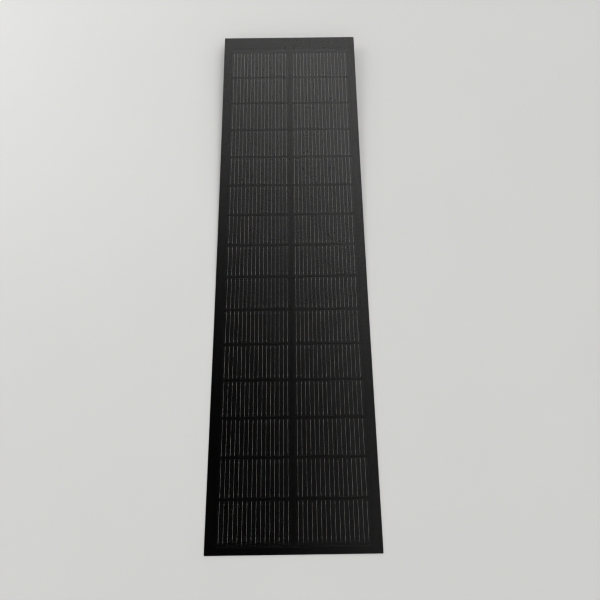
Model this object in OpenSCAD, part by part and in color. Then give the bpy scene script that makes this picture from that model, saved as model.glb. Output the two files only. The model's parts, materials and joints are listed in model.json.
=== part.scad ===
// Flexible photovoltaic sheet: two columns of half cells in a thin, bendable laminate,
// with a junction box on the back under the wide end margin.
// X runs across the sheet, Y along it towards the junction box, Z up out of its face.
// The sheet bends along five bays of cell rows. The flex lines between bays lie in row gaps.

/* [Cells] */
// Size of a half cell across the sheet
cell_w = 182; // [156:1:210]
// Size of a half cell along the sheet
cell_l = 91; // [78:1:105]
// Thickness of a cell
cell_t = 0.2; // [0.15:0.01:0.25]
// Gap between one row of cells and the next
row_gap = 6.5; // [5:0.5:10]
// Gap between the two columns of cells
column_gap = 12; // [8:1:20]
// Rows of cells in one bay
bay_rows = 3; // [2:1:4]

/* [Wires] */
// Wires over the front of each cell
wire_count = 16; // [9:1:18]
// Distance from a cell's side to its first wire
wire_inset = 6.25; // [4:0.25:10]
// Width of a wire
wire_w = 0.4; // [0.2:0.05:0.6]
// Height of a wire
wire_h = 0.25; // [0.15:0.05:0.35]
// Width of the bus ribbons
ribbon_w = 5; // [4:0.5:8]
// Distance from the end cells to the bus ribbons
ribbon_offset = 9; // [5:1:12]

/* [Laminate] */
// Margin beside the cells
side_margin = 27; // [20:1:40]
// Margin beyond the last cells at the junction box end
far_margin = 64; // [60:1:90]
// Margin beyond the first cells at the plain end
near_margin = 29; // [20:1:40]
// Radius of the sheet's four corners
corner_r = 2; // [1:0.5:10]
// Thickness of the composite back sheet
back_t = 1.0; // [0.6:0.1:1.6]
// Thickness of each encapsulant layer
encapsulant_t = 0.5; // [0.4:0.05:0.8]
// Thickness of the front film
film_t = 0.3; // [0.1:0.05:0.5]
// Clearance at each flex line
flex_gap = 0.8; // [0.7:0.1:2]
// Angle between neighbouring bays where the sheet rises to the junction box
curl = 0.9; // [0.7:0.05:1.1]

/* [Junction box] */
// Size of the box across the sheet
box_w = 110; // [100:1:130]
// Size of the box along the sheet
box_l = 60; // [50:1:64]
// Distance from the end of the sheet to the box
box_edge = 9; // [6:1:20]
// Wall thickness of the box
wall = 2.5; // [2:0.1:3.5]
// Thickness of the lid
lid_t = 2.5; // [2:0.1:3.5]
// Thickness of the adhesive pad between sheet and box
pad_t = 0.8; // [0.5:0.1:1.5]
// Radius of the cable that each inlet takes
cable_r = 3; // [2.5:0.1:3.5]

/* [Hidden] */

$fn = 48;
// How far cutting shapes run past the faces they cut, where they must not reach anything else.
eps = 0.01;
// The same where there is room beyond.
cut = 1;

// Levels in the laminate, measured up from the underside of the back sheet.
rear_z = back_t;
cell_z = rear_z + encapsulant_t;
wire_front_z = cell_z + cell_t;
film_z = wire_front_z + encapsulant_t;
sheet_t = film_z + film_t;

// Plan of the sheet.
pitch = cell_l + row_gap;
bay_l = bay_rows * pitch;
sheet_w = 2 * side_margin + 2 * cell_w + column_gap;
bays = 5;
near_edge = row_gap / 2 - near_margin;
far_edge = bay_l - row_gap / 2 + far_margin;
near_ribbon_y = row_gap / 2 - ribbon_offset - ribbon_w;
far_ribbon_y = bay_l - row_gap / 2 + ribbon_offset;
cell_bevel = 2;

// Side view of the sheet at rest. Bays 1 and 2 lie flat, and each later bay rises by curl.
function slope(bay) = max(0, bay - 2) * curl;

// The mid-thickness point [y, z] where a bay begins, with bay 2's at y = 0.
function bay_start(bay) =
    bay == 1 ? [-bay_l, sheet_t / 2] :
    bay == 2 ? [0, sheet_t / 2] :
    bay_start(bay - 1) + bay_l * [cos(slope(bay - 1)), sin(slope(bay - 1))];

// The origin lies at the middle of the sheet's footprint.
foot_near = -bay_l + near_edge;
foot_far = bay_start(bays)[0] + far_edge * cos(slope(bays)) + sheet_t / 2 * sin(slope(bays));
foot_middle = (foot_near + foot_far) / 2;

// Junction box, in the last bay's own frame: z = 0 is the underside of the back sheet.
box_y = far_edge - box_edge - box_l / 2;
lid_bevel = 1.2;
touch_y = box_y - box_l / 2 + lid_bevel;
box_depth = (bay_start(bays)[1] + touch_y * sin(slope(bays))) / cos(slope(bays)) - sheet_t / 2;
rim_z = -box_depth + lid_t;
box_roof = 2;
roof_z = -pad_t - box_roof;
box_corner = 5;
lead_window = [44, 9];
pad_inset = 3;
lip_h = 3;
lip_t = 1.6;
lip_corner = 0.5;
lip_gap = 0.3;
seal_w = 1.0;
seal_h = 1.0;
clip_w = 12;
clip_t = 1.2;
clip_h = 9;
clip_x = 30;

// Cable glands on the two sides of the box.
gland_z = -13.2;
spigot_r = 6.5;
spigot_l = 13;
seal_bore_r = 4.6;
seal_flange_r = 5.8;
seal_flange_t = 1.5;
seal_start = 1;
nut_flats_r = 9.4;
nut_clear = 0.08;
nut_hole_r = cable_r + 0.6;
nut_l = 14;
nut_collar_l = 2;
nut_nose_t = 2.6;
nut_nose_inset = 1.6;
nut_start = 2;
nut_seal_gap = 0.2;

// Parts inside the box.
terminal_x = 24;
terminal = [12, 10, 9];
core_bore_r = 1.8;
core_bore_z = 3.2;
screw_r = 2;
screw_l = 2;
screw_head_r = 3;
screw_head_t = 2;
screw_slot_w = 0.8;
screw_slot_depth = 1;
screw_hole_l = 3.2;
diode_r = 2.6;
diode_l = 9.4;
diode_lead_r = 0.6;
diode_y = 3.2;
diode_drop = 4;
diode_z = roof_z - diode_drop;
potting_t = 6;
lead_t = 0.2;
lead_w = 5;
lead_slot = [1.6, lead_w + 1.4];
lead_end_z = roof_z - terminal[2] + 1;
mask_t = 0.15;

black = [0.05, 0.05, 0.055];

// ---------------------------------------------------------------- placing and plan helpers

// Moves a bay from its own frame to its place in the sheet.
module in_bay(bay) {
    translate([0, bay_start(bay)[0] - foot_middle, bay_start(bay)[1]])
        rotate([slope(bay), 0, 0])
            translate([0, 0, -sheet_t / 2])
                children();
}

// First and last y of a bay's layers.
function layer_start(bay) = bay == 1 ? near_edge : flex_gap / 2;
function layer_end(bay) = bay == bays ? far_edge : bay_l - flex_gap / 2;

// Outline of one bay, with the sheet's corners rounded where the bay has them.
module bay_outline(bay) {
    y0 = layer_start(bay);
    y1 = layer_end(bay);
    near_r = bay == 1 ? corner_r : 0;
    far_r = bay == bays ? corner_r : 0;
    translate([-sheet_w / 2, y0 + near_r])
        square([sheet_w, y1 - y0 - near_r - far_r]);
    translate([corner_r - sheet_w / 2, y0])
        square([sheet_w - 2 * corner_r, y1 - y0]);
    for (side = [-1, 1]) {
        if (near_r > 0)
            translate([side * (sheet_w / 2 - near_r), y0 + near_r])
                circle(near_r);
        if (far_r > 0)
            translate([side * (sheet_w / 2 - far_r), y1 - far_r])
                circle(far_r);
    }
}

module layer(bay, z, thickness) {
    translate([0, 0, z])
        linear_extrude(thickness)
            bay_outline(bay);
}

// Places a child at the near corner of each half cell of a bay.
module at_cells() {
    for (column = [-1, 1], row = [0 : bay_rows - 1])
        translate([column * (column_gap + cell_w) / 2 - cell_w / 2, row_gap / 2 + row * pitch, 0])
            children();
}

// Slots through the layers behind the cells for the two leads to the junction box.
module lead_slots(z, thickness) {
    for (side = [-1, 1])
        translate([side * (terminal_x - terminal[0] / 2) - lead_slot[0] / 2,
                   box_y - lead_slot[1] / 2, z - eps])
            cube([lead_slot[0], lead_slot[1], thickness + 2 * eps]);
}

// ---------------------------------------------------------------- laminate layers

module front_film(bay) {
    color([0.16, 0.16, 0.17, 0.35])
        in_bay(bay)
            layer(bay, film_z, film_t);
}

// The front encapsulant flows down round the cells, the ribbons and the mask strips.
module front_encapsulant(bay) {
    color([0.10, 0.10, 0.11])
        in_bay(bay)
            difference() {
                layer(bay, cell_z, film_z - cell_z);
                at_cells()
                    translate([0, 0, -eps])
                        cube([cell_w, cell_l, cell_z + cell_t + eps]);
                if (bay == 1)
                    ribbon_pocket(near_ribbon_y);
                if (bay == bays) {
                    ribbon_pocket(far_ribbon_y);
                    lead_runs(cell_z - cut, cell_t + cut);
                }
            }
}

module rear_encapsulant(bay) {
    color([0.08, 0.08, 0.09])
        in_bay(bay)
            difference() {
                layer(bay, rear_z, encapsulant_t);
                if (bay == bays)
                    lead_slots(rear_z, encapsulant_t);
            }
}

module back_sheet(bay) {
    color([0.13, 0.13, 0.14])
        in_bay(bay)
            difference() {
                layer(bay, 0, back_t);
                if (bay == bays)
                    lead_slots(0, back_t);
            }
}

// ---------------------------------------------------------------- cells and wires

// A half cell, with the small bevels that its whole cell has on its outer corners.
module half_cell() {
    linear_extrude(cell_t)
        polygon([
            [0, 0], [cell_w, 0], [cell_w, cell_l - cell_bevel], [cell_w - cell_bevel, cell_l],
            [cell_bevel, cell_l], [0, cell_l - cell_bevel]
        ]);
}

module cells(bay) {
    color([0.07, 0.075, 0.10])
        in_bay(bay)
            at_cells()
                translate([0, 0, cell_z])
                    half_cell();
}

// A wire that follows a path of [y, z] points, which give its underside.
module wire(path) {
    top = [for (i = [len(path) - 1 : -1 : 0]) path[i] + [0, wire_h]];
    translate([-wire_w / 2, 0, 0])
        rotate([90, 0, 90])
            linear_extrude(wire_w)
                polygon(concat(path, top));
}

// The wires of one string in one bay. Each runs along one face of a cell at level from, steps
// through the row gap and runs along the other face of the next cell at level to. The step at a
// flex line is shared by two bays, and the first and last wires run on to the bus ribbons.
module string_wires(bay, from, to) {
    middle = (from + to) / 2;
    reach = ribbon_offset + ribbon_w;
    for (row = [0 : bay_rows - 1]) {
        y0 = row_gap / 2 + row * pitch;
        y1 = y0 + cell_l;
        last = row == bay_rows - 1;
        wire(concat(
            [[y0, from]],
            last && bay == bays ? [[y1 + reach, from]] :
            last ? [[y1, from], [y1 + (row_gap - flex_gap) / 2, middle]] :
            [[y1, from], [y1 + row_gap, to], [y1 + row_gap + cell_l, to]]
        ));
    }
    first_end = row_gap / 2 + cell_l;
    if (bay == 1)
        wire([[row_gap / 2 - reach, to], [first_end, to]]);
    else
        wire([[flex_gap / 2, middle], [row_gap / 2, to], [first_end, to]]);
}

// The left column's current runs up from the cross ribbon, and the right column's runs down to
// it, so their wires change faces in opposite directions.
module cell_wires(bay) {
    spacing = (cell_w - 2 * wire_inset) / (wire_count - 1);
    over = wire_front_z;
    under = cell_z - wire_h;
    color([0.72, 0.73, 0.74])
        in_bay(bay)
            for (column = [-1, 1], i = [0 : wire_count - 1])
                translate([column * (column_gap + cell_w) / 2 - cell_w / 2 + wire_inset + i * spacing, 0, 0])
                    string_wires(bay, column < 0 ? over : under, column < 0 ? under : over);
}

// ---------------------------------------------------------------- bus ribbons and mask strips

// Room for a ribbon and for the mask strip over it and over the wire ends.
module ribbon_pocket(y) {
    translate([-column_gap / 2 - cell_w, y, cell_z - eps])
        cube([2 * cell_w + column_gap, ribbon_w, cell_t + eps]);
    translate([-column_gap / 2 - cell_w, y, wire_front_z + wire_h])
        cube([2 * cell_w + column_gap, ribbon_w, mask_t]);
}

// Flat runs of the two leads, from the ribbons to the slots in the back sheet.
module lead_runs(z, thickness, sides = [-1, 1]) {
    for (side = sides)
        translate([side * (terminal_x - terminal[0] / 2) - (side > 0 ? lead_w : 0), far_ribbon_y, z])
            cube([lead_w, box_y + lead_w / 2 - far_ribbon_y, thickness]);
}

// The ribbon that joins one column to the other at the plain end.
module cross_ribbon() {
    color(black)
        in_bay(1)
            translate([-column_gap / 2 - cell_w, near_ribbon_y, cell_z])
                cube([2 * cell_w + column_gap, ribbon_w, cell_t]);
}

// A ribbon along one column, with its lead turned down into the junction box.
module end_ribbon(side) {
    color(black)
        in_bay(bays) {
            translate([side > 0 ? column_gap / 2 : -column_gap / 2 - cell_w, far_ribbon_y, cell_z])
                cube([cell_w, ribbon_w, cell_t]);
            lead_runs(cell_z, cell_t, [side]);
            translate([side * (terminal_x - terminal[0] / 2) - (side > 0 ? lead_t : 0),
                       box_y - lead_w / 2, lead_end_z])
                cube([lead_t, lead_w, cell_z + cell_t - lead_end_z]);
        }
}

module mask_strip(bay, y) {
    color(black)
        in_bay(bay)
            translate([-column_gap / 2 - cell_w, y, wire_front_z + wire_h])
                cube([2 * cell_w + column_gap, ribbon_w, mask_t]);
}

// ---------------------------------------------------------------- junction box

// A block with rounded upright edges, between two levels.
module rounded_block(size_x, size_y, r, z0, z1) {
    translate([0, 0, z0])
        linear_extrude(z1 - z0) {
            square([size_x - 2 * r, size_y], center = true);
            square([size_x, size_y - 2 * r], center = true);
            for (sx = [-1, 1], sy = [-1, 1])
                translate([sx * (size_x / 2 - r), sy * (size_y / 2 - r)])
                    circle(r);
        }
}

module in_box() {
    in_bay(bays)
        translate([0, box_y, 0])
            children();
}

// Places a child at the side of the box, with its +Z along the gland's axis and outward.
module at_gland(side) {
    in_box()
        translate([side * box_w / 2, 0, gland_z])
            rotate([0, side * 90, 0])
                children();
}

module box_pad() {
    color([0.75, 0.75, 0.73])
        in_box()
            difference() {
                rounded_block(box_w - 2 * pad_inset, box_l - 2 * pad_inset, box_corner, -pad_t, 0);
                translate([-lead_window[0] / 2, -lead_window[1] / 2, -pad_t - eps])
                    cube([lead_window[0], lead_window[1], pad_t + 2 * eps]);
            }
}

// The base: a tray that opens downward, with a gland spigot on each side, a groove for the seal
// and recesses in its long sides for the lid's clips.
module box_base() {
    inner_w = box_w - 2 * wall;
    inner_l = box_l - 2 * wall;
    recess = [clip_w + 2 * lip_gap, 2 * (clip_t + lip_gap), 2 * (clip_h + lip_gap)];
    color(black)
        difference() {
            union() {
                in_box()
                    rounded_block(box_w, box_l, box_corner, rim_z, -pad_t);
                for (side = [-1, 1])
                    at_gland(side)
                        translate([0, 0, -wall])
                            cylinder(h = wall + spigot_l, r = spigot_r);
            }
            in_box() {
                rounded_block(inner_w, inner_l, box_corner - wall, rim_z - eps, roof_z);
                translate([-lead_window[0] / 2, -lead_window[1] / 2, roof_z - eps])
                    cube([lead_window[0], lead_window[1], box_roof + 2 * eps]);
                for (sx = [-1, 1], sy = [-1, 1])
                    translate([sx * clip_x, sy * box_l / 2, rim_z])
                        cube(recess, center = true);
                seal_ring();
            }
            for (side = [-1, 1])
                at_gland(side)
                    translate([0, 0, -wall - cut])
                        cylinder(h = wall + spigot_l + 2 * cut, r = seal_bore_r);
        }
}

// The seal lies in a groove in the rim, just outside the cavity.
module seal_ring() {
    outer_w = box_w - 2 * wall + 2 * seal_w;
    outer_l = box_l - 2 * wall + 2 * seal_w;
    difference() {
        rounded_block(outer_w, outer_l, box_corner - wall + seal_w, rim_z, rim_z + seal_h);
        rounded_block(outer_w - 2 * seal_w, outer_l - 2 * seal_w, box_corner - wall,
                      rim_z - eps, rim_z + seal_h + eps);
    }
}

module lid_seal() {
    color([0.35, 0.35, 0.36])
        in_box()
            seal_ring();
}

// The lid: a bevelled plate, a lip inside the base and four clips outside it.
module box_lid() {
    lip_w = box_w - 2 * wall - 2 * lip_gap;
    lip_l = box_l - 2 * wall - 2 * lip_gap;
    color([0.08, 0.08, 0.085])
        in_box() {
            rounded_block(box_w, box_l, box_corner, rim_z - lid_t + lid_bevel, rim_z);
            rounded_block(box_w - 2 * lid_bevel, box_l - 2 * lid_bevel, box_corner - lid_bevel,
                          rim_z - lid_t, rim_z - lid_t + lid_bevel);
            difference() {
                rounded_block(lip_w, lip_l, box_corner - wall, rim_z, rim_z + lip_h);
                rounded_block(lip_w - 2 * lip_t, lip_l - 2 * lip_t, lip_corner,
                              rim_z - eps, rim_z + lip_h + eps);
            }
            for (sx = [-1, 1], sy = [-1, 1])
                translate([sx * clip_x - clip_w / 2, sy * (box_l / 2 - clip_t / 2) - clip_t / 2, rim_z])
                    cube([clip_w, clip_t, clip_h]);
        }
}

// A terminal block with a bore for the cable's core and a threaded hole for its screw.
module terminal_block(side) {
    color([0.72, 0.53, 0.25])
        in_box()
            difference() {
                translate([side * terminal_x - terminal[0] / 2, -terminal[1] / 2, roof_z - terminal[2]])
                    cube(terminal);
                translate([side * terminal_x - terminal[0], 0, roof_z - terminal[2] + core_bore_z])
                    rotate([0, 90, 0])
                        cylinder(h = 2 * terminal[0], r = core_bore_r);
                translate([side * terminal_x, 0, roof_z - terminal[2] - cut])
                    cylinder(h = screw_hole_l + cut, r = screw_r);
            }
}

module terminal_screws() {
    color([0.65, 0.66, 0.68])
        in_box()
            for (side = [-1, 1])
                translate([side * terminal_x, 0, roof_z - terminal[2] - screw_head_t])
                    difference() {
                        union() {
                            cylinder(h = screw_head_t, r = screw_head_r);
                            cylinder(h = screw_head_t + screw_l, r = screw_r);
                        }
                        translate([-screw_head_r, -screw_slot_w / 2, -cut])
                            cube([2 * screw_head_r, screw_slot_w, screw_slot_depth + cut]);
                    }
}

module bypass_diode() {
    reach = 2 * (terminal_x - terminal[0] / 2);
    color([0.10, 0.10, 0.10])
        in_box()
            translate([0, diode_y, diode_z])
                rotate([0, 90, 0]) {
                    cylinder(h = diode_l, r = diode_r, center = true);
                    cylinder(h = reach, r = diode_lead_r, center = true);
                }
}

// Resin over the terminals' feet, the leads and the diode.
module potting() {
    clear = 0.02;
    feet_x = terminal_x - terminal[0] / 2 - lead_t;
    color([0.12, 0.12, 0.13])
        in_box()
            difference() {
                rounded_block(box_w - 2 * wall, box_l - 2 * wall, box_corner - wall,
                              roof_z - potting_t, roof_z);
                for (side = [-1, 1])
                    translate([side > 0 ? feet_x : -feet_x - terminal[0] - lead_t, -terminal[1] / 2,
                               roof_z - potting_t - eps])
                        cube([terminal[0] + lead_t, terminal[1], potting_t + 2 * eps]);
                translate([0, diode_y, diode_z])
                    rotate([0, 90, 0]) {
                        cylinder(h = diode_l + clear, r = diode_r + clear, center = true);
                        cylinder(h = 2 * (feet_x + cut), r = diode_lead_r + clear, center = true);
                    }
                for (side = [-1, 1])
                    translate([side * box_w / 2, 0, gland_z])
                        rotate([0, side * 90, 0])
                            translate([0, 0, -wall - cut])
                                cylinder(h = wall + 2 * cut, r = seal_bore_r);
            }
}

// A rubber insert that grips the cable, with a flange against the spigot's end.
module gland_seal(side) {
    color([0.20, 0.20, 0.21])
        at_gland(side)
            rotate_extrude()
                polygon([
                    [cable_r, seal_start], [seal_bore_r, seal_start], [seal_bore_r, spigot_l],
                    [seal_flange_r, spigot_l], [seal_flange_r, spigot_l + seal_flange_t],
                    [cable_r, spigot_l + seal_flange_t]
                ]);
}

// The hexagonal gland nut, with a round nose and a clear bore for the cable.
module gland_nut(side) {
    socket_l = spigot_l + seal_flange_t + nut_seal_gap - nut_start;
    color([0.07, 0.07, 0.075])
        at_gland(side)
            difference() {
                union() {
                    translate([0, 0, nut_start])
                        cylinder(h = nut_l - nut_collar_l, r = nut_flats_r / cos(30), $fn = 6);
                    translate([0, 0, nut_start])
                        cylinder(h = nut_l, r = nut_flats_r);
                    translate([0, 0, nut_start + nut_l])
                        cylinder(h = nut_nose_t, r = nut_flats_r - nut_nose_inset);
                }
                translate([0, 0, nut_start - cut])
                    cylinder(h = socket_l + cut, r = spigot_r + nut_clear);
                translate([0, 0, nut_start])
                    cylinder(h = nut_l + nut_nose_t + cut, r = nut_hole_r);
            }
}

// ---------------------------------------------------------------- nodes

for (bay = [1 : bays]) {
    front_film(bay);
    front_encapsulant(bay);
    cells(bay);
    cell_wires(bay);
    rear_encapsulant(bay);
    back_sheet(bay);
}
cross_ribbon();
end_ribbon(1);  // positive_ribbon
end_ribbon(-1);  // negative_ribbon
mask_strip(1, near_ribbon_y);  // near_mask_strip
mask_strip(bays, far_ribbon_y);  // far_mask_strip
box_pad();
box_base();
terminal_block(1);  // terminal_positive
terminal_block(-1);  // terminal_negative
terminal_screws();
bypass_diode();
potting();
lid_seal();
box_lid();
gland_seal(-1);  // gland_seal_left
gland_seal(1);  // gland_seal_right
gland_nut(-1);  // gland_nut_left
gland_nut(1);  // gland_nut_right
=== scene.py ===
"""Looks of the flexible solar sheet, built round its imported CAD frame. Lengths are in metres."""
import json
import math

import bmesh
import bpy
from mathutils import Euler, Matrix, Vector


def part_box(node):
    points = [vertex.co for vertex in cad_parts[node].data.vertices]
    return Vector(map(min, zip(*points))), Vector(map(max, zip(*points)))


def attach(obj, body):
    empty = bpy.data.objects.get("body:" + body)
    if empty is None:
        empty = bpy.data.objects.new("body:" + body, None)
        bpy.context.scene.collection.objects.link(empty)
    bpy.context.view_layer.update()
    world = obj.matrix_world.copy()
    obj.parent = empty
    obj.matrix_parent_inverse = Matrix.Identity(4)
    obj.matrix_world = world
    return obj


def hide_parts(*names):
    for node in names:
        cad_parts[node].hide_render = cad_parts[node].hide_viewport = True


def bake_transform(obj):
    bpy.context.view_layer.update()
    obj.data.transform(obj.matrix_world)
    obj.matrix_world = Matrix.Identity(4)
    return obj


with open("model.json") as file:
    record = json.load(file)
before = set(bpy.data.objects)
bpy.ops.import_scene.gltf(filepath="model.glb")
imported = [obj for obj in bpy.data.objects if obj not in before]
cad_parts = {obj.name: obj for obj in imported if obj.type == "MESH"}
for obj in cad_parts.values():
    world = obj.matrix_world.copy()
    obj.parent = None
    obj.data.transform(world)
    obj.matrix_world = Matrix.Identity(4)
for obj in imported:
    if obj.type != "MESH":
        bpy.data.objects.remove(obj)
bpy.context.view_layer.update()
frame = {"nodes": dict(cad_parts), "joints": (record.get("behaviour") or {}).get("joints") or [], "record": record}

# ------------------------------------------------------------------ the sheet's plan and levels

BAYS = 5
ROWS_PER_BAY = 3
LAST_ROW = BAYS * ROWS_PER_BAY - 1
WIRES = 16
WIRE_INSET = 0.00625      # from a cell's side to its first wire
RIBBON_REACH = 0.014      # how far the first and last wires run past the end cells
CORNER_RADIUS = 0.002
TOUCH = 1e-6              # two places closer than this are taken to be one

joints = {j["name"]: j for j in frame["joints"]}
flex_lines = [Vector(joints[f"flex_line_{k}"]["pos_m"]) for k in range(1, BAYS)]


def size_of(node):
    """Size of a CAD node's box along x, y and z."""
    low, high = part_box(node)
    return high - low


# Bay 2 lies flat, so its layers' boxes give their levels above the underside.
FILM_BOTTOM, FILM_TOP = (corner.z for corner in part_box("front_film_2"))
CELL_BOTTOM, CELL_TOP = (corner.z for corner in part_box("cells_2"))
REAR_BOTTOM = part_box("rear_encapsulant_2")[0].z
WIRE_HEIGHT = CELL_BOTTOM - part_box("cell_wires_2")[0].z
MIDDLE = FILM_TOP / 2
HALF_WIDTH = size_of("back_sheet_2").x / 2
BAY_LENGTH = (flex_lines[1] - flex_lines[0]).length
PITCH = BAY_LENGTH / ROWS_PER_BAY
ROW_GAP = BAY_LENGTH - size_of("cells_2").y
CELL_LENGTH = PITCH - ROW_GAP
CELL_WIDTH = 2 * CELL_LENGTH
COLUMN_CENTRE = size_of("cells_2").x / 2 - CELL_WIDTH / 2
WIRE_PITCH = (CELL_WIDTH - 2 * WIRE_INSET) / (WIRES - 1)


def slope_of(bay):
    """How steeply a bay rises at rest, in radians, from its back sheet's box."""
    size = size_of(f"back_sheet_{bay}")
    return math.atan2(size.z - REAR_BOTTOM, size.y)


SLOPES = [slope_of(bay) for bay in range(1, BAYS + 1)]

# Places along the sheet are distances from the first flex line.
FLEX_AT = [k * BAY_LENGTH for k in range(BAYS - 1)]
FLEX_CLEARANCE = BAY_LENGTH - size_of("back_sheet_2").y
NEAR_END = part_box("back_sheet_1")[0].y - flex_lines[0].y
last_size = size_of("back_sheet_5")
FAR_END = (FLEX_AT[-1] + FLEX_CLEARANCE / 2
           + (last_size.y - REAR_BOTTOM * math.sin(SLOPES[-1])) / math.cos(SLOPES[-1]))
FIRST_CELL = ROW_GAP / 2 - BAY_LENGTH


def along(slope):
    """Unit vector along the sheet at a slope."""
    return Vector((0, math.cos(slope), math.sin(slope)))


def centre_line(s):
    """Point at mid-thickness and slope of the sheet, at s along it.

    Within one row of a flex line the sheet curves from one bay's slope to the next.
    """
    for k, at in enumerate(FLEX_AT):
        if abs(s - at) < PITCH:
            t = (s - at + PITCH) / (2 * PITCH)
            here, before, after = flex_lines[k], SLOPES[k], SLOPES[k + 1]
            start = here - along(before) * PITCH
            end = here + along(after) * PITCH
            point = start * (1 - t) ** 2 + here * (2 * t * (1 - t)) + end * t ** 2
            return point, before + (after - before) * t
    bay = sum(s > at for at in FLEX_AT)
    line = max(bay - 1, 0)
    return flex_lines[line] + along(SLOPES[bay]) * (s - FLEX_AT[line]), SLOPES[bay]


def on_sheet(x, s, level):
    """Point at x across, s along and level above the underside of the sheet."""
    point, slope = centre_line(s)
    up = Vector((0, -math.sin(slope), math.cos(slope)))
    return Vector((x, 0, 0)) + point + up * (level - MIDDLE)


class Segment:
    """A stretch of the sheet that rides on one bay, or bends between two across a flex line."""

    def __init__(self, name, start, end, bays):
        self.name, self.start, self.end, self.bays = name, start, end, bays

    def attach(self, piece):
        """Makes a piece ride on the segment's bay; a piece across a flex line is baked in place and rides on
        neither bay.
        """
        if len(self.bays) == 1:
            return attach(piece, f"bay_{self.bays[0]}")
        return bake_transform(piece)

    def nodes(self, layer):
        """The CAD nodes of a layer that lie in this segment."""
        return [f"{layer}_{bay}" for bay in self.bays]


def make_segments():
    """The sheet's segments, from the near end to the far end."""
    made = [Segment("near", NEAR_END, FLEX_AT[0] - PITCH, [1])]
    for k, at in enumerate(FLEX_AT):
        made.append(Segment(f"bend_{k + 1}", at - PITCH, at + PITCH, [k + 1, k + 2]))
        if k < len(FLEX_AT) - 1:
            made.append(Segment(f"mid_{k + 2}", at + PITCH, FLEX_AT[k + 1] - PITCH, [k + 2]))
    made.append(Segment("far", FLEX_AT[-1] + PITCH, FAR_END, [BAYS]))
    return made


SEGMENTS = make_segments()


def segment_at(s):
    """The segment that holds the place s along the sheet."""
    return next(g for g in SEGMENTS if g.start - TOUCH <= s <= g.end + TOUCH)


# ------------------------------------------------------------------ materials

NOISE_ROUGHNESS = 0.55
NOISE_LOW, NOISE_HIGH = 0.3, 0.7      # nearly all of a noise's values lie between these
STRIPES = 20 / (2 * math.pi)          # how many a wave texture of scale 1 has in a metre


def new_material(name):
    """A material with its node tree and its shader."""
    made = bpy.data.materials.new(name)
    made.use_nodes = True
    return made, made.node_tree, made.node_tree.nodes["Principled BSDF"]


def noise(tree, scale, detail=4.0, coords="Object", stretch=(1, 1, 1)):
    """Noise from 0 to 1 in an object's own metres, or along the sheet with UV coordinates."""
    place = tree.nodes.new("ShaderNodeTexCoord")
    mapping = tree.nodes.new("ShaderNodeMapping")
    mapping.inputs["Scale"].default_value = stretch
    made = tree.nodes.new("ShaderNodeTexNoise")
    made.inputs["Scale"].default_value = scale
    made.inputs["Detail"].default_value = detail
    made.inputs["Roughness"].default_value = NOISE_ROUGHNESS
    tree.links.new(place.outputs[coords], mapping.inputs["Vector"])
    tree.links.new(mapping.outputs["Vector"], made.inputs["Vector"])
    return made.outputs["Fac"]


def spread(tree, value, low, high, from_low=NOISE_LOW, from_high=NOISE_HIGH):
    """Maps a value onto the range from low to high."""
    made = tree.nodes.new("ShaderNodeMapRange")
    made.inputs["From Min"].default_value = from_low
    made.inputs["From Max"].default_value = from_high
    made.inputs["To Min"].default_value = low
    made.inputs["To Max"].default_value = high
    tree.links.new(value, made.inputs["Value"])
    return made.outputs["Result"]


def two_tone(tree, value, dark, light):
    """A colour between dark and light, chosen by a value from 0 to 1."""
    made = tree.nodes.new("ShaderNodeMix")
    made.data_type = "RGBA"
    made.inputs["A"].default_value = (*dark, 1)
    made.inputs["B"].default_value = (*light, 1)
    tree.links.new(value, made.inputs["Factor"])
    return made.outputs["Result"]


def stripe_scale(pitch):
    """Scale of a wave texture whose stripes are one pitch apart."""
    return 1 / (pitch * STRIPES)


def bump(tree, shader, heights, distance):
    """Gives a shader bumps from (value, strength) pairs, one on the other."""
    normal = None
    for value, strength in heights:
        made = tree.nodes.new("ShaderNodeBump")
        made.inputs["Strength"].default_value = strength
        made.inputs["Distance"].default_value = distance
        tree.links.new(value, made.inputs["Height"])
        if normal is not None:
            tree.links.new(normal, made.inputs["Normal"])
        normal = made.outputs["Normal"]
    tree.links.new(normal, shader.inputs["Normal"])


def plain_material(name, dark, light, rough, scale, metallic=0.0, specular=0.5, grain=0.15,
                   grain_scale=2500, distance=0.0001):
    """Two close tones mottled together, with varied roughness and a fine grain."""
    made, tree, shader = new_material(name)
    patches = noise(tree, scale)
    fine = noise(tree, grain_scale, detail=2)
    tree.links.new(two_tone(tree, patches, dark, light), shader.inputs["Base Color"])
    tree.links.new(spread(tree, patches, *rough), shader.inputs["Roughness"])
    shader.inputs["Metallic"].default_value = metallic
    shader.inputs["Specular IOR Level"].default_value = specular
    bump(tree, shader, [(fine, grain)], distance)
    return made


def black_coating_and_shade(name, specular=0.3):
    """A thin matt black: the coating of the ribbons and mask strips, and the painted shade on the wires where they
    dip through the row gaps.
    """
    return plain_material(name, (0.0010, 0.0010, 0.0010), (0.0024, 0.0024, 0.0024), (0.28, 0.36), 60,
                          specular=specular, grain=0.04)


def film_material():
    """Clear front film: a dark veil with a soft sheen and a finely pebbled face."""
    made, tree, shader = new_material("front_film")
    patches = noise(tree, 3.0, coords="UV")
    pebbles = noise(tree, 1400, detail=2, coords="UV")
    waves = noise(tree, 9.0, detail=1, coords="UV", stretch=(1.0, 0.5, 1.0))
    tree.links.new(two_tone(tree, patches, (0.002, 0.002, 0.002), (0.004, 0.004, 0.004)),
                   shader.inputs["Base Color"])
    tree.links.new(spread(tree, patches, 0.16, 0.20), shader.inputs["Roughness"])
    shader.inputs["IOR"].default_value = 2.0
    shader.inputs["Specular IOR Level"].default_value = 1.0
    shader.inputs["Alpha"].default_value = 0.11
    bump(tree, shader, [(pebbles, 0.02), (waves, 0.12)], 0.0004)
    return made


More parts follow.
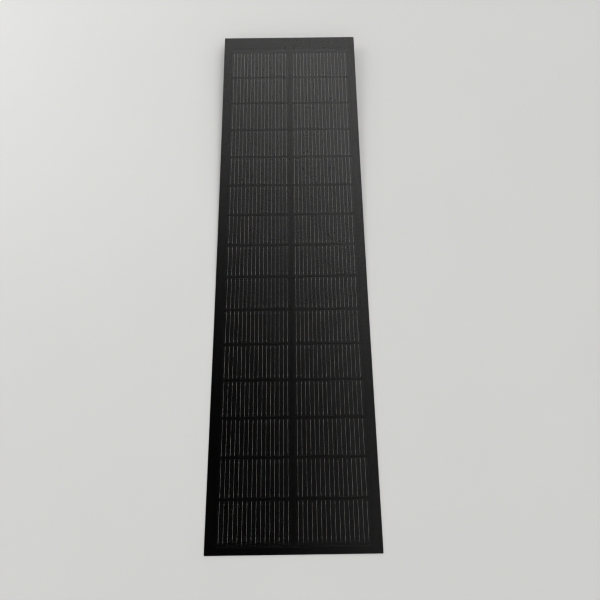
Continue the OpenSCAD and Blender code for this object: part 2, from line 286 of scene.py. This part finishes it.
def encapsulant_material():
    """Clear resin, so nearly see-through that it only dulls a little what lies under it."""
    made, tree, shader = new_material("encapsulant")
    patches = noise(tree, 40, coords="UV")
    tree.links.new(two_tone(tree, patches, (0.003, 0.003, 0.003), (0.006, 0.006, 0.006)),
                   shader.inputs["Base Color"])
    tree.links.new(spread(tree, patches, 0.28, 0.36), shader.inputs["Roughness"])
    shader.inputs["Alpha"].default_value = 0.03
    return made


FINGER_PITCH = 0.0012
FINGER_EDGE = 0.93        # the wave's height above which a finger lies


def cell_material():
    """Near-black silicon with a soft sheen, faint mottling and fine fingers across the wires."""
    made, tree, shader = new_material("cell")
    place = tree.nodes.new("ShaderNodeTexCoord")
    fingers = tree.nodes.new("ShaderNodeTexWave")
    fingers.wave_type = "BANDS"
    fingers.bands_direction = "Y"
    fingers.inputs["Scale"].default_value = stripe_scale(FINGER_PITCH)
    tree.links.new(place.outputs["UV"], fingers.inputs["Vector"])
    line = spread(tree, fingers.outputs["Fac"], 0.0, 1.0, FINGER_EDGE, 1.0)
    patches = noise(tree, 7.0, coords="UV")
    silicon = two_tone(tree, patches, (0.0008, 0.0008, 0.0010), (0.0018, 0.0018, 0.0020))
    shade = tree.nodes.new("ShaderNodeMix")
    shade.data_type = "RGBA"
    shade.inputs["B"].default_value = (0.006, 0.006, 0.006, 1)
    tree.links.new(line, shade.inputs["Factor"])
    tree.links.new(silicon, shade.inputs["A"])
    tree.links.new(shade.outputs["Result"], shader.inputs["Base Color"])
    tree.links.new(spread(tree, patches, 0.20, 0.25), shader.inputs["Roughness"])
    shader.inputs["Specular IOR Level"].default_value = 0.12
    bump(tree, shader, [(line, 0.2)], 0.00003)
    return made


def wire_material():
    """Tinned copper."""
    made, tree, shader = new_material("wire")
    patches = noise(tree, 120, coords="UV")
    tree.links.new(two_tone(tree, patches, (0.38, 0.375, 0.365), (0.50, 0.495, 0.48)),
                   shader.inputs["Base Color"])
    tree.links.new(spread(tree, patches, 0.38, 0.55), shader.inputs["Roughness"])
    shader.inputs["Metallic"].default_value = 0.9
    return made


WEAVE_PITCH = 0.0016


def back_sheet_material():
    """Black glass-fibre composite: a faint woven relief under a matt resin skin."""
    made, tree, shader = new_material("back_sheet")
    place = tree.nodes.new("ShaderNodeTexCoord")
    weave = []
    for direction in ("X", "Y"):
        wave = tree.nodes.new("ShaderNodeTexWave")
        wave.bands_direction = direction
        wave.inputs["Scale"].default_value = stripe_scale(WEAVE_PITCH)
        wave.inputs["Distortion"].default_value = 0.4
        tree.links.new(place.outputs["UV"], wave.inputs["Vector"])
        weave.append(wave.outputs["Fac"])
    patches = noise(tree, 14, coords="UV")
    fine = noise(tree, 1800, detail=3, coords="UV")
    tree.links.new(two_tone(tree, patches, (0.0012, 0.0012, 0.0013), (0.0026, 0.0026, 0.0028)),
                   shader.inputs["Base Color"])
    # A range that crossed about 0.274 would let the denoiser outline the patches.
    tree.links.new(spread(tree, patches, 0.28, 0.35), shader.inputs["Roughness"])
    shader.inputs["Specular IOR Level"].default_value = 1.0
    bump(tree, shader, [(weave[0], 0.04), (weave[1], 0.04), (fine, 0.04)], 0.0001)
    return made


MATERIALS = {
    "front_film": film_material(),
    "encapsulant": encapsulant_material(),
    "cell": cell_material(),
    "wire": wire_material(),
    "back_sheet": back_sheet_material(),
    "ribbon": black_coating_and_shade("ribbon", specular=0.16),
    "mask": black_coating_and_shade("mask", specular=0.16),
    # Painted shade: the wires' dips through the row gaps are painted black, standing in for the shade down there.
    "wire_painted_shade": black_coating_and_shade("wire_painted_shade"),
    "wire_dull": plain_material("wire_dull", (0.13, 0.13, 0.125), (0.18, 0.18, 0.172), (0.35, 0.5), 80,
                                metallic=0.9),
    "adhesive_pad": plain_material("adhesive_pad", (0.42, 0.42, 0.40), (0.55, 0.55, 0.52), (0.75, 0.9), 300,
                                   grain=0.6, grain_scale=1500, distance=0.0003),
    "box_plastic": plain_material("box_plastic", (0.012, 0.012, 0.013), (0.020, 0.020, 0.021),
                                  (0.42, 0.56), 35, grain=0.35, grain_scale=3200),
    "gland_plastic": plain_material("gland_plastic", (0.014, 0.014, 0.015), (0.022, 0.022, 0.023),
                                    (0.30, 0.42), 60),
    "terminal_brass": plain_material("terminal_brass", (0.55, 0.36, 0.13), (0.68, 0.48, 0.20),
                                     (0.25, 0.45), 200, metallic=1.0),
    "screw_steel": plain_material("screw_steel", (0.48, 0.48, 0.47), (0.62, 0.62, 0.61), (0.25, 0.4), 300,
                                  metallic=1.0),
    "diode_body": plain_material("diode_body", (0.012, 0.012, 0.013), (0.02, 0.02, 0.02), (0.25, 0.35), 200),
    "potting_resin": plain_material("potting_resin", (0.010, 0.010, 0.011), (0.018, 0.018, 0.018),
                                    (0.2, 0.35), 90),
    "seal_rubber": plain_material("seal_rubber", (0.022, 0.022, 0.023), (0.035, 0.035, 0.035),
                                  (0.6, 0.75), 200),
}

# ------------------------------------------------------------------ mesh helpers

ROUNDING = 1e-9           # a whole number of steps may come out this much too high


def new_piece(name, verts, faces, slot, uvs):
    """A mesh object, with UVs in metres across and along the sheet, one for each vertex."""
    mesh = bpy.data.meshes.new(name)
    mesh.from_pydata([tuple(v) for v in verts], [], faces)
    mesh.materials.append(MATERIALS[slot])
    layer = mesh.uv_layers.new(name="UVMap")
    for loop in mesh.loops:
        layer.data[loop.index].uv = uvs[loop.vertex_index]
    bm = bmesh.new()
    bm.from_mesh(mesh)
    bmesh.ops.recalc_face_normals(bm, faces=bm.faces)
    bm.to_mesh(mesh)
    bm.free()
    for polygon in mesh.polygons:
        polygon.use_smooth = False
    made = bpy.data.objects.new(name, mesh)
    bpy.context.scene.collection.objects.link(made)
    return made


def steps(start, end, longest):
    """Even places from start to end, no further apart than longest."""
    count = max(1, math.ceil((end - start) / longest - ROUNDING))
    return [start + (end - start) * i / count for i in range(count + 1)]


def half_width_at(s):
    """Half the sheet's width, drawn in by the rounded corners at its two ends."""
    inside = min(s - NEAR_END, FAR_END - s)
    if inside >= CORNER_RADIUS:
        return HALF_WIDTH
    run_in = CORNER_RADIUS - max(inside, 0)
    return HALF_WIDTH - CORNER_RADIUS + math.sqrt(max(CORNER_RADIUS ** 2 - run_in ** 2, 0))


def slab_faces(row_count, columns):
    """Faces of a closed slab. Its vertices run row by row, the bottom level first."""
    wide = columns + 1
    level_size = row_count * wide
    faces = []
    for r in range(row_count - 1):
        for c in range(columns):
            a = r * wide + c
            faces.append((a, a + wide, a + wide + 1, a + 1))
            b = a + level_size
            faces.append((b, b + 1, b + wide + 1, b + wide))
        for a in (r * wide, r * wide + columns):
            faces.append((a, a + wide, a + wide + level_size, a + level_size))
    for c in range(columns):
        for a in (c, (row_count - 1) * wide + c):
            faces.append((a, a + 1, a + 1 + level_size, a + level_size))
    return faces


def slab(name, rows, half_width, levels, slot, columns, x_centre=0.0):
    """A thin closed slab that follows the sheet's curve and reaches half_width(s) to each side."""
    verts, uvs = [], []
    for level in levels:
        for s in rows:
            reach = half_width(s)
            for c in range(columns + 1):
                x = x_centre + reach * (2 * c / columns - 1)
                verts.append(on_sheet(x, s, level))
                uvs.append((x, s))
    piece = new_piece(name, verts, slab_faces(len(rows), columns), slot, uvs)
    return piece


# ------------------------------------------------------------------ laminate

SKIN = 0.00002            # keeps neighbouring layers from lying in one plane
LAYER_STEP = 0.016        # longest face of a layer along the sheet
LAYER_COLUMNS = 12
CORNER_STEPS = 4          # round each corner of the sheet


def layer_rows(segment):
    """Places along a segment where its layers have vertices, closer together in the corners."""
    rows = steps(segment.start, segment.end, LAYER_STEP)
    corner = [CORNER_RADIUS * (1 - math.cos(a * math.pi / 2 / CORNER_STEPS)) for a in range(CORNER_STEPS)]
    if segment.name == "near":
        return [NEAR_END + c for c in corner] + [s for s in rows if s > NEAR_END + CORNER_RADIUS]
    if segment.name == "far":
        return [s for s in rows if s < FAR_END - CORNER_RADIUS] + [FAR_END - c for c in reversed(corner)]
    return rows


def build_layers():
    # Node name, material and levels of each layer.
    layers = [
        ("front_film", "front_film", (FILM_BOTTOM + SKIN, FILM_TOP)),
        ("rear_encapsulant", "encapsulant", (REAR_BOTTOM + SKIN, CELL_BOTTOM - SKIN)),
        ("back_sheet", "back_sheet", (0.0, REAR_BOTTOM)),
        ("front_encapsulant", "encapsulant", (CELL_TOP + WIRE_HEIGHT + 2 * SKIN, FILM_BOTTOM - SKIN)),
    ]
    for segment in SEGMENTS:
        for layer, slot, levels in layers:
            piece = slab(f"{layer}_{segment.name}", layer_rows(segment), half_width_at, levels, slot,
                         LAYER_COLUMNS)
            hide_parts(*segment.nodes(layer))
            segment.attach(piece)


CELL_STEP = 0.012         # longest face of a cell along the sheet
CELL_COLUMNS = 8
BEVEL = 0.002             # cut corners at the far side of each half cell


def build_cell(name, x_centre, start):
    """One half cell, which starts at start along the sheet."""
    end = start + CELL_LENGTH
    rows = steps(start, end - BEVEL, CELL_STEP) + [end]
    return slab(name, rows, lambda s: CELL_WIDTH / 2 - (BEVEL if s == end else 0),
                (CELL_BOTTOM, CELL_TOP), "cell", CELL_COLUMNS, x_centre)


# A wire's cross-section, as (across, up) shares of its half width and its height: flat-topped.
WIRE_SECTION = [(-1, 0.0), (-1, 0.55), (-0.45, 1.0), (0.45, 1.0), (1, 0.55), (1, 0.0)]
WIRE_HALF = 0.00022       # half a wire's width
PAD_HALF = 0.00048        # half its width where it is soldered to a pad
WIRE_START = 0.0006       # how far inside the cell's end a bright wire starts
PAD_START, PAD_END = 0.0060, 0.0085
PAD_RAMP = 0.0003
# The wire's half width at distances in from each end of a cell.
PAD_OUTLINE = [(WIRE_START, WIRE_HALF), (PAD_START, WIRE_HALF), (PAD_START + PAD_RAMP, PAD_HALF),
               (PAD_END, PAD_HALF), (PAD_END + PAD_RAMP, WIRE_HALF)]
MIDDLE_START = 0.02       # from here to as far from the other end, a wire has only even steps
WIRE_STEP = 0.012
BRIGHT, DIP_SHADE, DULL = 0, 1, 2       # a wire's looks, its material slots in this order: bright tinned copper, painted shade where it dips through a row gap, dull on the tails
BRIGHT_REACH = 0.004
TAIL = [(RIBBON_REACH, DULL), (BRIGHT_REACH, BRIGHT)]     # how far each runs past an end cell


def wire_rings(row, start, towards_far):
    """Rings (s, level, half width, finish) of one wire, from its near end to its far end; in a row gap the finish
    is painted shade.

    It lies on its cell. It then steps down through the row gap, painted black there as painted shade of the dip,
    and past an end cell it runs on to the ribbon.
    """
    end = start + CELL_LENGTH
    under = CELL_BOTTOM - WIRE_HEIGHT
    outline = [(start + distance, half) for distance, half in PAD_OUTLINE]
    outline += [(s, WIRE_HALF) for s in steps(start + MIDDLE_START, end - MIDDLE_START, WIRE_STEP)]
    outline += [(end - distance, half) for distance, half in reversed(PAD_OUTLINE)]
    over_cell = [(s, CELL_TOP, half, BRIGHT) for s, half in outline]
    near_part, far_part = [], []
    if row == 0:
        near_part = [(start - reach, CELL_TOP, WIRE_HALF, finish) for reach, finish in TAIL]
    elif not towards_far:
        # Painted shade: black where the wire dips through the row gap.
        near_part = [(start - ROW_GAP, under, WIRE_HALF, DIP_SHADE), (start, CELL_TOP, WIRE_HALF, DIP_SHADE)]
    if row == LAST_ROW:
        far_part = [(end + reach, CELL_TOP, WIRE_HALF, finish) for reach, finish in reversed(TAIL)]
    elif towards_far:
        # Painted shade: black where the wire dips through the row gap.
        far_part = [(end, CELL_TOP, WIRE_HALF, DIP_SHADE), (end + ROW_GAP, under, WIRE_HALF, DIP_SHADE)]
    return near_part + over_cell + far_part


def build_wires(name, row, column, start):
    """The wires of one cell, as one piece in three materials: bright tinned copper, painted shade where they dip
    through the row gaps, and dull on the tails.
    """
    verts, uvs, faces, finishes_and_shade = [], [], [], []
    points = len(WIRE_SECTION)
    rings = wire_rings(row, start, towards_far=column < 0)
    for i in range(WIRES):
        x_wire = column * COLUMN_CENTRE - CELL_WIDTH / 2 + WIRE_INSET + i * WIRE_PITCH
        base = len(verts)
        for s, level, half, _ in rings:
            for across, up in WIRE_SECTION:
                x = x_wire + across * half
                verts.append(on_sheet(x, s, level + SKIN + up * WIRE_HEIGHT))
                uvs.append((x, s))
        for r in range(len(rings) - 1):
            for k in range(points):
                a, b = base + r * points + k, base + r * points + (k + 1) % points
                faces.append((a, b, b + points, a + points))
                finishes_and_shade.append(max(rings[r][3], rings[r + 1][3]))
        last = base + (len(rings) - 1) * points
        faces.append(tuple(range(base, base + points)))
        faces.append(tuple(range(last, last + points)))
        finishes_and_shade += [BRIGHT, BRIGHT]
    piece = new_piece(name, verts, faces, "wire", uvs)
    # Slot 1 is the painted shade of the dips through the row gaps.
    piece.data.materials.append(MATERIALS["wire_painted_shade"])
    piece.data.materials.append(MATERIALS["wire_dull"])
    for polygon, finish in zip(piece.data.polygons, finishes_and_shade):
        polygon.material_index = finish
    return piece


def build_rows():
    """Every half cell and its wires. Column -1 is the left one."""
    for row in range(BAYS * ROWS_PER_BAY):
        start = FIRST_CELL + row * PITCH
        segment = segment_at(start + CELL_LENGTH / 2)
        bay = row // ROWS_PER_BAY + 1
        for column, side in ((-1, "left"), (1, "right")):
            cell = build_cell(f"cell_{row + 1:02d}_{side}", column * COLUMN_CENTRE, start)
            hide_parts(f"cells_{bay}")
            segment.attach(cell)
            wires = build_wires(f"cell_wires_{row + 1:02d}_{side}", row, column, start)
            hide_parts(f"cell_wires_{bay}")
            segment.attach(wires)


# ------------------------------------------------------------------ junction box

EDGE_RADIUS = 0.0004
EDGE_SEGMENTS = 3
SHARP_ANGLE = 30          # degrees: edges sharper than this are rounded
FLAT_ANGLE = 1            # degrees: faces closer than this are joined first


def softened(node, name, slot, body):
    """A copy of a CAD node with its sharp edges rounded."""
    mesh = frame["nodes"][node].data.copy()
    mesh.name = name
    made = bpy.data.objects.new(name, mesh)
    bpy.context.scene.collection.objects.link(made)
    mesh.materials.clear()
    mesh.materials.append(MATERIALS[slot])
    bm = bmesh.new()
    bm.from_mesh(mesh)
    bmesh.ops.remove_doubles(bm, verts=bm.verts, dist=TOUCH)
    bmesh.ops.dissolve_limit(bm, angle_limit=math.radians(FLAT_ANGLE), verts=bm.verts, edges=bm.edges)
    bmesh.ops.recalc_face_normals(bm, faces=bm.faces)
    bm.to_mesh(mesh)
    bm.free()
    for polygon in mesh.polygons:
        polygon.use_smooth = True
    bevel = made.modifiers.new("round", "BEVEL")
    bevel.width = EDGE_RADIUS
    bevel.segments = EDGE_SEGMENTS
    bevel.limit_method = "ANGLE"
    bevel.angle_limit = math.radians(SHARP_ANGLE)
    bevel.harden_normals = True
    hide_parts(node)
    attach(made, body)


def dress_cad_nodes():
    """Gives every CAD node the material that the record names for it."""
    slots = {row["node"]: row["material_slot"] for row in frame["record"]["subparts"]}
    for node, piece in frame["nodes"].items():
        piece.data.materials.clear()
        piece.data.materials.append(MATERIALS[slots[node]])


def build_box():
    """The junction box's outer pieces. What is inside stays as the CAD has it."""
    softened("box_base", "junction_box_base", "box_plastic", "bay_5")
    softened("box_lid", "junction_box_lid", "box_plastic", "lid")
    for side in ("left", "right"):
        softened(f"gland_nut_{side}", f"gland_cap_{side}", "gland_plastic", f"nut_{side}")


# ------------------------------------------------------------------ floor, light and camera

TABLE_SIZE = 40.0
CAMERA_AT = (0.0197, -0.5206, 1.2227)
CAMERA_TURN = (17.459, 0.058, -0.767)       # degrees
CAMERA_LENS, CAMERA_FRAME = 27.349, 36      # millimetres
CAMERA_SEES_FROM, CAMERA_SEES_TO = 0.05, 200
PIXEL_FILTER = 1.1                          # sharper than usual, so that the wires stay clear


def build_table():
    """A plain pale floor."""
    bpy.ops.mesh.primitive_plane_add(size=TABLE_SIZE, location=(0, 0, 0))
    table = bpy.context.object
    table.name = "table"
    made, tree, shader = new_material("table")
    patches = noise(tree, 2.0)
    tree.links.new(two_tone(tree, patches, (0.76, 0.76, 0.75), (0.80, 0.80, 0.79)),
                   shader.inputs["Base Color"])
    tree.links.new(spread(tree, patches, 0.55, 0.65), shader.inputs["Roughness"])
    shader.inputs["Specular IOR Level"].default_value = 0.3
    table.data.materials.append(made)


ROOM_BRIGHT = 1.25
ROOM_COLOUR = (1.0, 0.998, 0.985, 1)
ROOM_CURVE = 1.5                       # above 1, the room brightens slowly at first out of the dark
DARK_TOWARDS = (-0.45, -0.14, 1.0)     # it is darkest overhead, to the left and towards the camera
DARK_CORE, DARK_ANGLE = 20, 52         # degrees from there to where it brightens, and to full bright
KEY_AT = (-2.2, 1.4, 1.7)
KEY_TO = (0, 0.1, 0)
KEY_SIZE = 1.2
KEY_WATTS = 15


def build_room():
    """A pale studio, dim overhead, with a soft key light from the far left."""
    world = bpy.data.worlds.new("studio")
    bpy.context.scene.world = world
    world.use_nodes = True
    tree = world.node_tree
    background = tree.nodes["Background"]
    place = tree.nodes.new("ShaderNodeTexCoord")
    dot = tree.nodes.new("ShaderNodeVectorMath")
    dot.operation = "DOT_PRODUCT"
    dot.inputs[1].default_value = Vector(DARK_TOWARDS).normalized()
    tree.links.new(place.outputs["Generated"], dot.inputs[0])
    fall = tree.nodes.new("ShaderNodeMapRange")
    fall.inputs["From Min"].default_value = math.cos(math.radians(DARK_ANGLE))
    fall.inputs["From Max"].default_value = math.cos(math.radians(DARK_CORE))
    fall.inputs["To Min"].default_value = 1.0
    fall.inputs["To Max"].default_value = 0.0
    tree.links.new(dot.outputs["Value"], fall.inputs["Value"])
    curve = tree.nodes.new("ShaderNodeMath")
    curve.operation = "POWER"
    curve.inputs[1].default_value = ROOM_CURVE
    tree.links.new(fall.outputs["Result"], curve.inputs[0])
    strength = tree.nodes.new("ShaderNodeMath")
    strength.operation = "MULTIPLY"
    strength.inputs[1].default_value = ROOM_BRIGHT
    tree.links.new(curve.outputs["Value"], strength.inputs[0])
    tree.links.new(strength.outputs["Value"], background.inputs["Strength"])
    background.inputs["Color"].default_value = ROOM_COLOUR

    light = bpy.data.lights.new("key", "AREA")
    light.size = KEY_SIZE
    light.energy = KEY_WATTS
    key = bpy.data.objects.new("key", light)
    key.location = KEY_AT
    key.rotation_euler = (Vector(KEY_TO) - key.location).to_track_quat("-Z", "Y").to_euler()
    bpy.context.scene.collection.objects.link(key)


def build_camera():
    """A camera at the photograph's place and angle."""
    data = bpy.data.cameras.new("camera")
    data.sensor_width = CAMERA_FRAME
    data.lens = CAMERA_LENS
    data.clip_start = CAMERA_SEES_FROM
    data.clip_end = CAMERA_SEES_TO
    made = bpy.data.objects.new("camera", data)
    made.location = CAMERA_AT
    made.rotation_euler = Euler([math.radians(a) for a in CAMERA_TURN], "XYZ")
    bpy.context.scene.collection.objects.link(made)
    bpy.context.scene.camera = made


build_camera()
build_layers()
build_rows()
dress_cad_nodes()
build_box()
build_table()
build_room()
bpy.context.scene.view_settings.view_transform = "Standard"
bpy.context.scene.cycles.filter_width = PIXEL_FILTER
